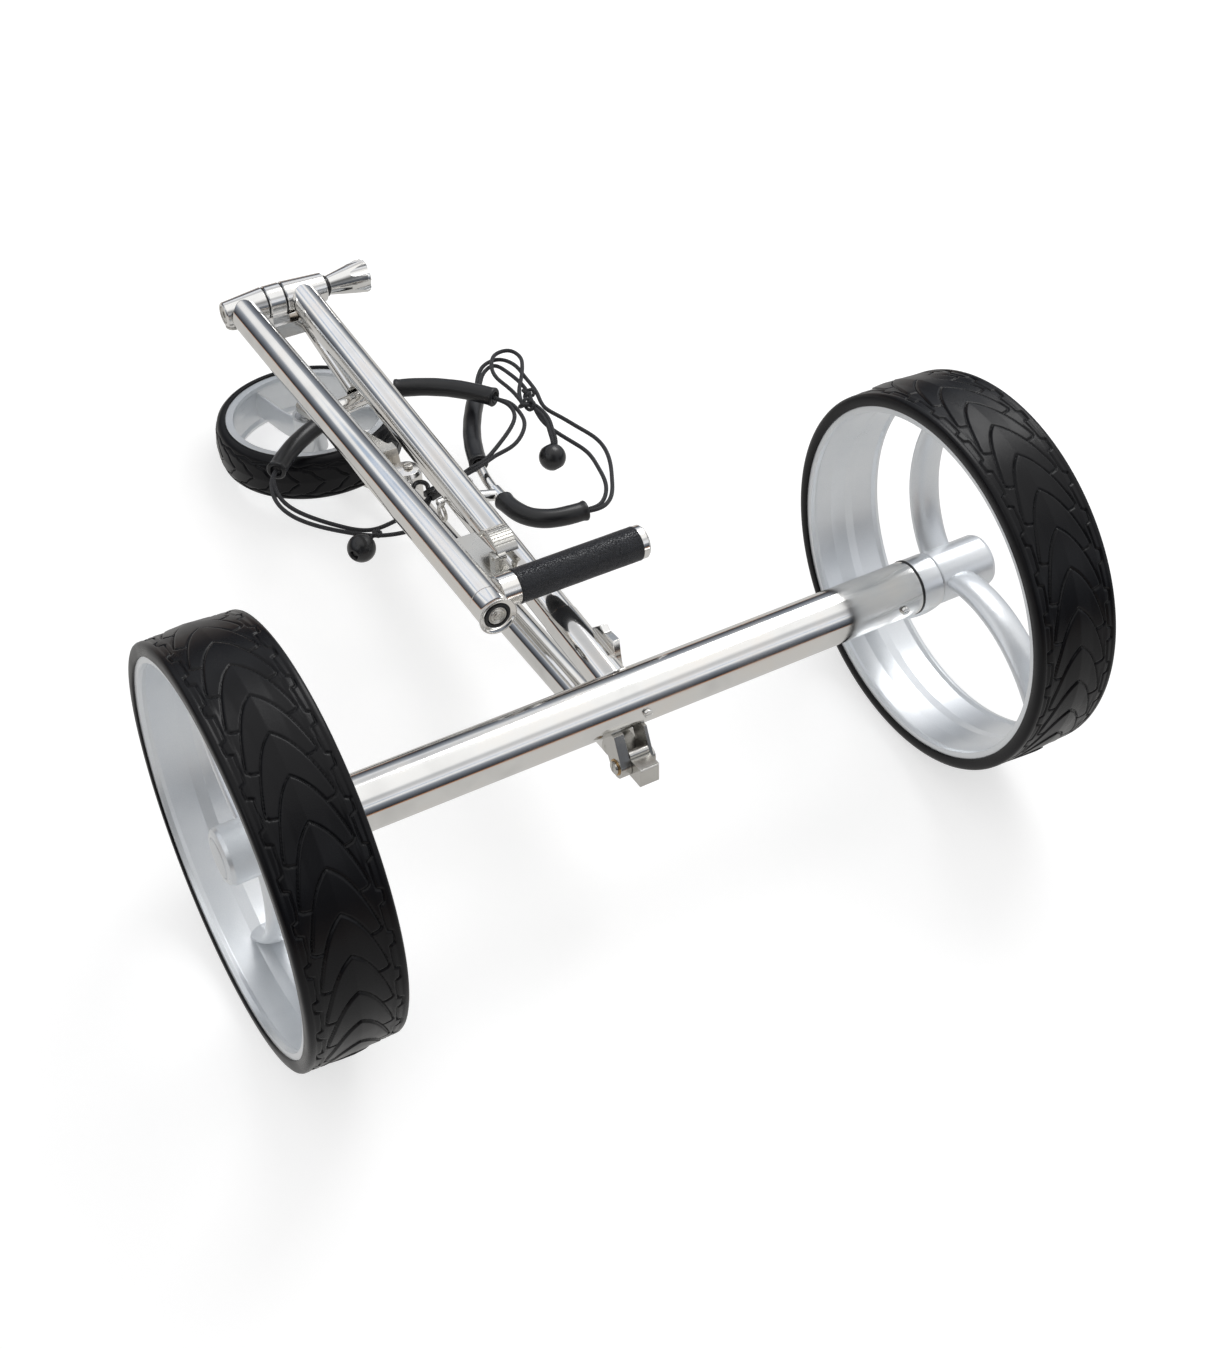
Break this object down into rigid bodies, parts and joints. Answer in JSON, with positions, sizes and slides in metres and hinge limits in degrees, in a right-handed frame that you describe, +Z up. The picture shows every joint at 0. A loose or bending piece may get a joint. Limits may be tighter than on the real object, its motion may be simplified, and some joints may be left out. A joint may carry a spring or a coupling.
{
  "type": "golf push trolley",
  "caption": "Folded three-wheel golf push trolley: tube axle, hinged frame and handle tubes, swing-out front wheel, bag brackets with elastic cords and a leather side grip.",
  "frame": {"origin": "on the floor, under the middle of the folded trolley's bounding box", "axes": "+Z up, +X along the rear axle, +Y from the rear axle towards the folding hinge"},
  "size_m": [0.602, 0.7034, 0.29],
  "materials": {
    "aluminium_satin": "satin machined aluminium",
    "bearing_steel": "bearing steel",
    "bronze": "bronze bush",
    "cap_silver": "silver plastic cap",
    "cord_black": "braided elastic cord",
    "leather_black": "fine grained black leather",
    "plastic_black": "moulded black plastic",
    "rim_silver": "pale silver lacquer",
    "rubber_black": "smooth black rubber",
    "stainless_brushed": "brushed stainless steel",
    "stainless_polished": "polished stainless steel tube",
    "tyre_black": "matt black tread rubber"
  },
  "bodies": {
    "frame": {"axle_tube": "stainless_polished", "axle_end_collars": "aluminium_satin", "axle_seal_rings": "rubber_black", "stub_axles": "stainless_brushed", "frame_screws": "stainless_polished", "main_tube_socket": "stainless_polished", "main_tube": "stainless_polished", "frame_knuckle": "stainless_polished", "hinge_bolt": "stainless_brushed", "hinge_friction_washers": "plastic_black", "axle_lugs": "stainless_brushed", "pivot_bushes": "bronze", "arm_pivot_bolt": "stainless_brushed", "arm_pivot_nut": "stainless_brushed", "latch_plate": "stainless_brushed", "cord_eye": "stainless_brushed"},
    "rear_wheel_left": {"rear_rim_left": "rim_silver", "rear_tyre_left": "tyre_black", "rear_bearings_left": "bearing_steel", "rear_hub_cap_left": "cap_silver"},
    "rear_wheel_right": {"rear_rim_right": "rim_silver", "rear_tyre_right": "tyre_black", "rear_bearings_right": "bearing_steel", "rear_hub_cap_right": "cap_silver"},
    "front_arm": {"arm_pivot_bar": "stainless_brushed", "arm_detent_pin": "stainless_brushed", "front_arm_tube": "stainless_polished", "front_arm_head": "stainless_polished", "arm_head_screw": "stainless_brushed"},
    "front_fork_unit": {"front_fork": "stainless_brushed", "front_axle_bolt": "stainless_brushed"},
    "front_wheel": {"front_rim": "rim_silver", "front_tyre": "tyre_black", "front_bearings": "bearing_steel"},
    "handle": {"handle_knuckle": "stainless_polished", "knuckle_binder_screw": "stainless_brushed", "handle_tube": "stainless_polished", "handle_end_bezel": "stainless_polished", "handle_end_seal": "rubber_black", "grip_stub": "stainless_polished", "grip_sleeve": "leather_black", "grip_end_cap": "stainless_polished"},
    "handle_button_unit": {"handle_button": "stainless_brushed"},
    "clamp_washer": {"clamp_thrust_washer": "plastic_black"},
    "clamp_knob_unit": {"clamp_knob": "stainless_polished", "knob_thread_insert": "stainless_brushed"},
    "upper_bracket": {"bracket_knuckle": "stainless_polished", "upper_stay_tube": "stainless_polished", "upper_bracket_frame": "stainless_polished", "upper_bracket_sleeves": "rubber_black", "upper_bracket_cord": "cord_black", "cord_ball_left": "plastic_black", "cord_hook": "plastic_black"},
    "lower_bracket": {"lower_bracket_frame": "stainless_polished", "lower_bracket_sleeves": "rubber_black", "lower_bracket_cord": "cord_black", "cord_ball_right": "plastic_black"},
    "latch": {"thumb_latch": "stainless_brushed"},
    "left_pin": {"release_pin_left": "stainless_brushed"},
    "right_pin": {"release_pin_right": "stainless_brushed"}
  },
  "joints": [
    {"name": "rear_wheel_left_spin", "type": "hinge", "parent": "frame", "child": "rear_wheel_left", "pos_m": [-0.268, -0.20671, 0.145], "axis": [1, 0, 0], "continuous": true},
    {"name": "rear_wheel_right_spin", "type": "hinge", "parent": "frame", "child": "rear_wheel_right", "pos_m": [0.268, -0.20671, 0.145], "axis": [1, 0, 0], "continuous": true},
    {"name": "front_arm_swing", "type": "hinge", "parent": "frame", "child": "front_arm", "pos_m": [-0.0095, -0.23342, 0.11188], "axis": [1, 0, 0], "range_deg": [-110, 0]},
    {"name": "front_fork_twist", "type": "hinge", "parent": "front_arm", "child": "front_fork_unit", "pos_m": [-0.0095, 0.1327, 0.05191], "axis": [0, 0.9868, -0.1617], "range_deg": [-90, 0]},
    {"name": "front_wheel_spin", "type": "hinge", "parent": "front_fork_unit", "child": "front_wheel", "pos_m": [-0.0355, 0.25705, 0.03154], "axis": [0, 0.1617, 0.9868], "continuous": true},
    {"name": "handle_fold", "type": "hinge", "parent": "frame", "child": "handle", "pos_m": [-0.055, 0.33771, 0.10952], "axis": [1, 0, 0], "range_deg": [-176.1, 0]},
    {"name": "handle_button_press", "type": "slide", "parent": "handle", "child": "handle_button_unit", "axis": [0, -0.9912, 0.1327], "range_m": [-0.003, 0], "stiffness_N_per_m": 200},
    {"name": "upper_bracket_swing", "type": "hinge", "parent": "frame", "child": "upper_bracket", "pos_m": [-0.028, 0.33771, 0.10952], "axis": [1, 0, 0], "range_deg": [0, 1], "stiffness_Nm_per_rad": 20},
    {"name": "lower_bracket_turn", "type": "hinge", "parent": "frame", "child": "lower_bracket", "pos_m": [0.003, 0.05652, 0.10644], "axis": [0, 0.9979, -0.065], "range_deg": [0, 25], "stiffness_Nm_per_rad": 2},
    {"name": "clamp_knob_travel", "type": "slide", "parent": "frame", "child": "clamp_washer", "axis": [1, 0, 0], "range_m": [0, 0.00225]},
    {"name": "clamp_knob_turn", "type": "hinge", "parent": "clamp_washer", "child": "clamp_knob_unit", "pos_m": [0.03, 0.33771, 0.10952], "axis": [1, 0, 0], "range_deg": [0, 540]},
    {"name": "thumb_latch_swing", "type": "hinge", "parent": "frame", "child": "latch", "pos_m": [-0.02, -0.05367, 0.15134], "axis": [1, 0, 0], "range_deg": [0, 25], "stiffness_Nm_per_rad": 0.1},
    {"name": "release_pin_left_pull", "type": "slide", "parent": "frame", "child": "left_pin", "axis": [0, 0, -1], "range_m": [0, 0.004], "stiffness_N_per_m": 500},
    {"name": "release_pin_right_pull", "type": "slide", "parent": "frame", "child": "right_pin", "axis": [0, 0, -1], "range_m": [0, 0.004], "stiffness_N_per_m": 500}
  ],
  "couplings": [
    {"joint": "front_fork_twist", "follows": "front_arm_swing", "ratio": 0.81818},
    {"joint": "clamp_knob_turn", "follows": "clamp_knob_travel", "rad_per_m": 4188.8}
  ]
}
